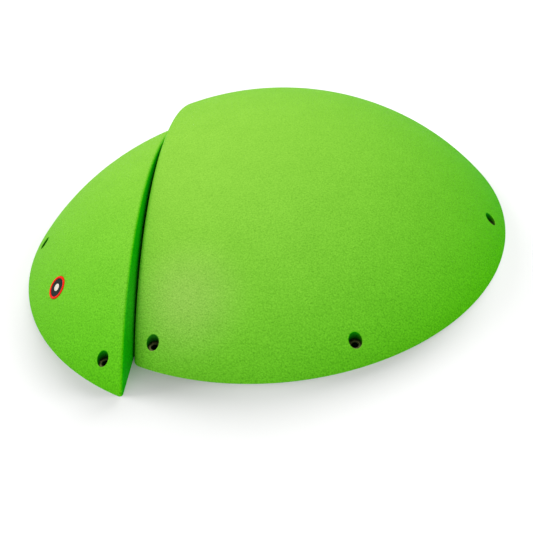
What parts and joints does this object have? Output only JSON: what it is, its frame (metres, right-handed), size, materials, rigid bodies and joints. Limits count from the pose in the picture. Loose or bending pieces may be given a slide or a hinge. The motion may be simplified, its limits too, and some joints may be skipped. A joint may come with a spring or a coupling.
{
  "type": "climbing volume",
  "caption": "Low dome-shaped screw-on climbing volume, split by a straight cut into a large and a small segment that sits shifted along the cut.",
  "frame": {"origin": "centre of the footprint's bounding box, on the wall face", "axes": "+Z away from the wall, +X across the cut from the small segment to the large one, +Y along the cut, away from the shift of the small segment"},
  "size_m": [0.55, 0.5692, 0.136],
  "materials": {
    "shell": "rough cast friction texture, lime green",
    "washer": "yellow zinc plated, dull",
    "badge_ring": "red enamel, glossy",
    "badge_inlay": "black enamel, glossy",
    "badge_dot": "off-white enamel, glossy"
  },
  "bodies": {
    "root": {"large_shell": "shell", "large_washer_1": "washer", "large_washer_2": "washer", "large_washer_3": "washer", "large_washer_4": "washer", "large_washer_5": "washer", "small_shell": "shell", "small_washer_1": "washer", "small_washer_2": "washer", "small_washer_3": "washer", "badge_ring": "badge_ring", "badge_inlay": "badge_inlay", "badge_dot": "badge_dot"}
  },
  "joints": []
}
